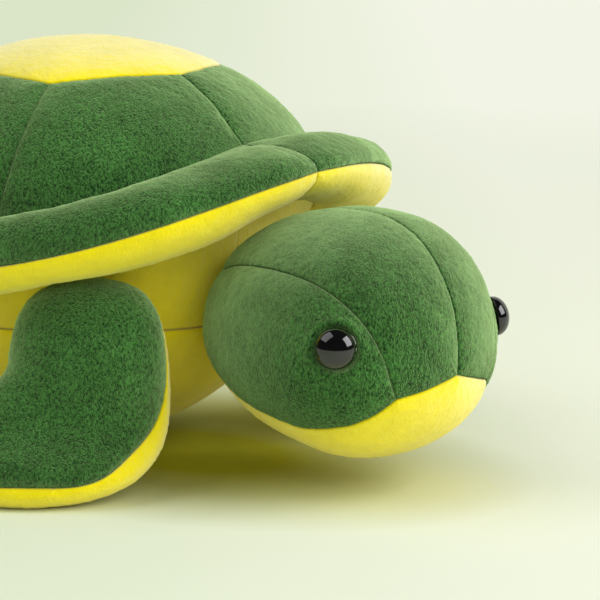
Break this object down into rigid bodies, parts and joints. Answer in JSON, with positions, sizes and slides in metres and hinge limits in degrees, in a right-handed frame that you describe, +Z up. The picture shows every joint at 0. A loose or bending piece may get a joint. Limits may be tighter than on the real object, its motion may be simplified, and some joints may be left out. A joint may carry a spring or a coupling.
{
  "type": "plush sea turtle",
  "caption": "Stuffed toy turtle of short pile fabric with a padded shell, a nodding head and flippers sewn on at their roots.",
  "frame": {"origin": "on the plane that the toy lies on, under the middle of its overall length and width", "axes": "+Z up; -Y towards the nose; +X to the toy's own left"},
  "size_m": [0.21, 0.2604, 0.1287],
  "materials": {
    "green_pile": "matte",
    "yellow_pile": "matte",
    "fibre_filling": "matte",
    "black_plastic": "gloss",
    "white_plastic": "satin"
  },
  "bodies": {
    "torso": {"shell_crown": "yellow_pile", "shell_front_left": "green_pile", "shell_side_left": "green_pile", "shell_rear_left": "green_pile", "shell_rear_right": "green_pile", "shell_side_right": "green_pile", "shell_front_right": "green_pile", "brim_upper_left": "green_pile", "brim_upper_right": "green_pile", "brim_lower_left": "yellow_pile", "brim_lower_right": "yellow_pile", "brim_filling": "fibre_filling", "body_flank_left": "yellow_pile", "body_flank_right": "yellow_pile", "body_belly": "yellow_pile", "torso_filling": "fibre_filling"},
    "head": {"head_crown_left": "green_pile", "head_crown_right": "green_pile", "head_cheek_left": "green_pile", "head_cheek_right": "green_pile", "head_chin": "yellow_pile", "head_filling": "fibre_filling", "eye_left": "black_plastic", "eye_right": "black_plastic", "eye_washer_left": "white_plastic", "eye_washer_right": "white_plastic"},
    "flipper_front_left": {"flipper_front_left_top": "green_pile", "flipper_front_left_underside": "yellow_pile", "flipper_front_left_filling": "fibre_filling"},
    "flipper_front_right": {"flipper_front_right_top": "green_pile", "flipper_front_right_underside": "yellow_pile", "flipper_front_right_filling": "fibre_filling"},
    "flipper_rear_left": {"flipper_rear_left_top": "green_pile", "flipper_rear_left_underside": "yellow_pile", "flipper_rear_left_filling": "fibre_filling"},
    "flipper_rear_right": {"flipper_rear_right_top": "green_pile", "flipper_rear_right_underside": "yellow_pile", "flipper_rear_right_filling": "fibre_filling"}
  },
  "joints": [
    {"name": "head_nod", "type": "hinge", "parent": "torso", "child": "head", "pos_m": [0.00093, -0.0388, 0.0493], "axis": [1, 0, 0], "range_deg": [-4, 8], "stiffness_Nm_per_rad": 0.6},
    {"name": "flipper_front_left_flap", "type": "hinge", "parent": "torso", "child": "flipper_front_left", "pos_m": [0.05019, -0.02559, 0.059], "axis": [0.682, 0.7314, 0], "range_deg": [-15, 10], "stiffness_Nm_per_rad": 0.15},
    {"name": "flipper_front_right_flap", "type": "hinge", "parent": "torso", "child": "flipper_front_right", "pos_m": [-0.05018, -0.02732, 0.059], "axis": [0.682, -0.7314, 0], "range_deg": [-15, 10], "stiffness_Nm_per_rad": 0.15},
    {"name": "flipper_rear_left_flap", "type": "hinge", "parent": "torso", "child": "flipper_rear_left", "pos_m": [0.04145, 0.07904, 0.034], "axis": [-0.788, 0.6157, 0], "range_deg": [-15, 12], "stiffness_Nm_per_rad": 0.1},
    {"name": "flipper_rear_right_flap", "type": "hinge", "parent": "torso", "child": "flipper_rear_right", "pos_m": [-0.03959, 0.07904, 0.034], "axis": [-0.788, -0.6157, 0], "range_deg": [-15, 12], "stiffness_Nm_per_rad": 0.1}
  ]
}
